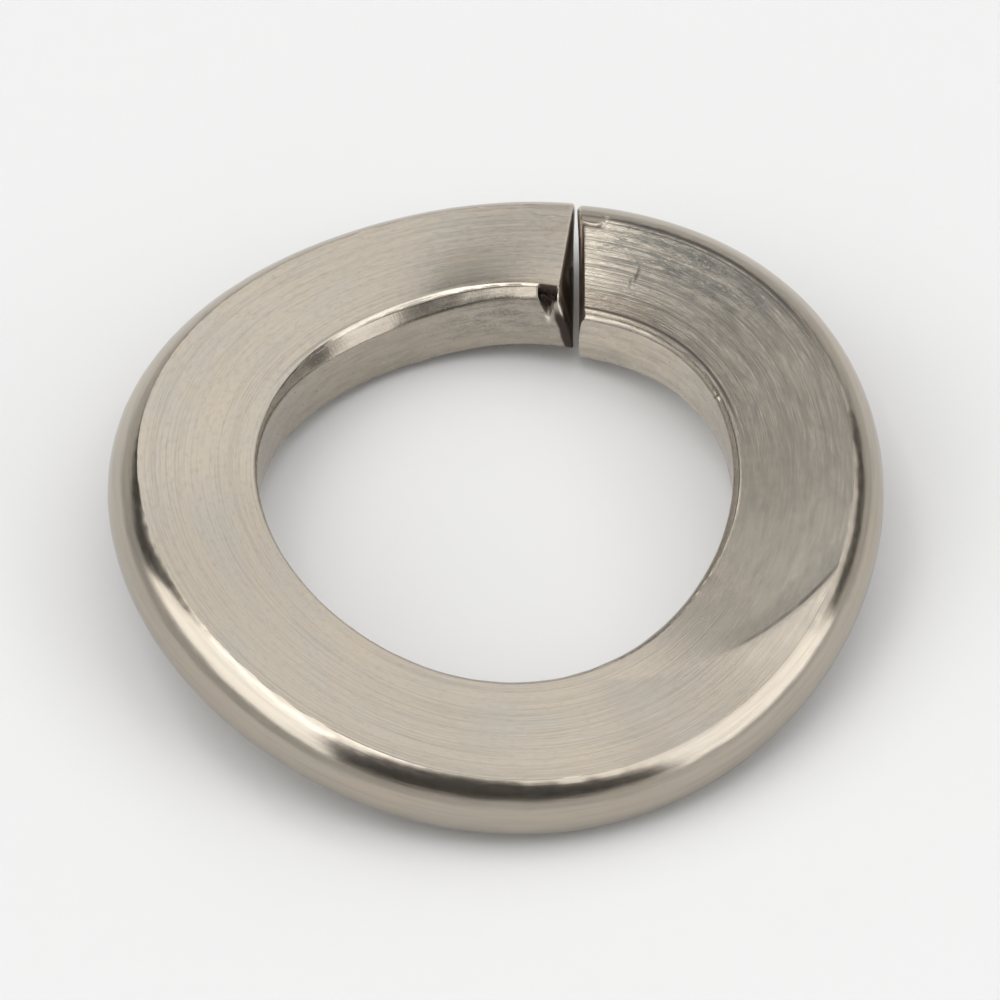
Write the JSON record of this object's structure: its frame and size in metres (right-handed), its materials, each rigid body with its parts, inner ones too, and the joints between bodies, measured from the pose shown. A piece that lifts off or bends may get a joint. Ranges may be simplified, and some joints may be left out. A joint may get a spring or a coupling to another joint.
{
  "type": "saddle spring washer",
  "caption": "Open-ended spring washer of rolled bar with flat faces and rounded sides, pressed into a shallow saddle round a plain bore.",
  "frame": {"origin": "on the bore's axis, at the level of the surface that the washer lies on", "axes": "+Z along the bore, upwards from the surface that the washer lies on; the gap lies towards +Y, a little to the +X side"},
  "size_m": [0.0262, 0.0262, 0.0048],
  "materials": {
    "bar": "rolled bar with fine marks along it, warm grey, satin to half bright"
  },
  "bodies": {
    "root": {"washer": "bar"}
  },
  "joints": []
}
